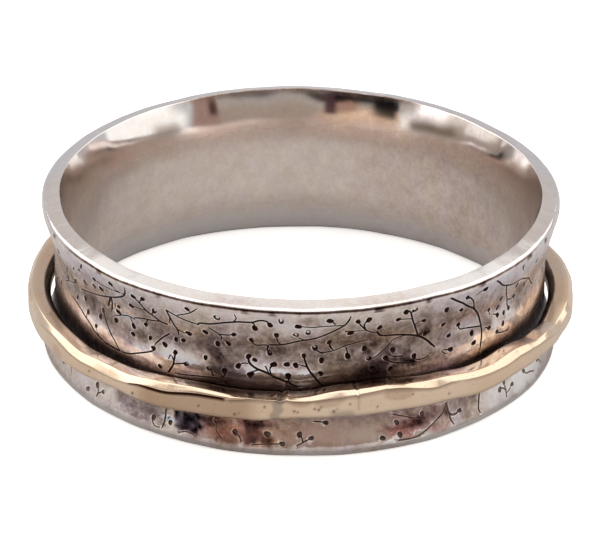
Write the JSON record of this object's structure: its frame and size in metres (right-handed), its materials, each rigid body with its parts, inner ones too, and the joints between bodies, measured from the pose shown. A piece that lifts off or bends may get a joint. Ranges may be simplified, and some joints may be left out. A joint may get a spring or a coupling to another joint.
{
  "type": "spinner ring",
  "caption": "Finger ring with flared rims and a straight waist, round which a loose hammered ring turns freely; a fine vine ornament is cut into its outer wall.",
  "frame": {"origin": "middle of the finger hole, on its axis, halfway along the straight part of the bore", "axes": "+Z along the axis of the finger hole, out of the rim that faces up as the ring lies; -Y towards the front of the picture; +X to its right"},
  "size_m": [0.0221, 0.022, 0.0065],
  "materials": {
    "silver": "polished sterling silver, softly tarnished, with blackened engraving",
    "gold": "hammered and polished yellow gold"
  },
  "bodies": {
    "band": {"band": "silver"},
    "spinner": {"spinner": "gold"}
  },
  "joints": [
    {"name": "spinner_spin", "type": "hinge", "parent": "band", "child": "spinner", "pos_m": [0, 0, -0.00086], "axis": [0, 0, 1], "continuous": true}
  ]
}
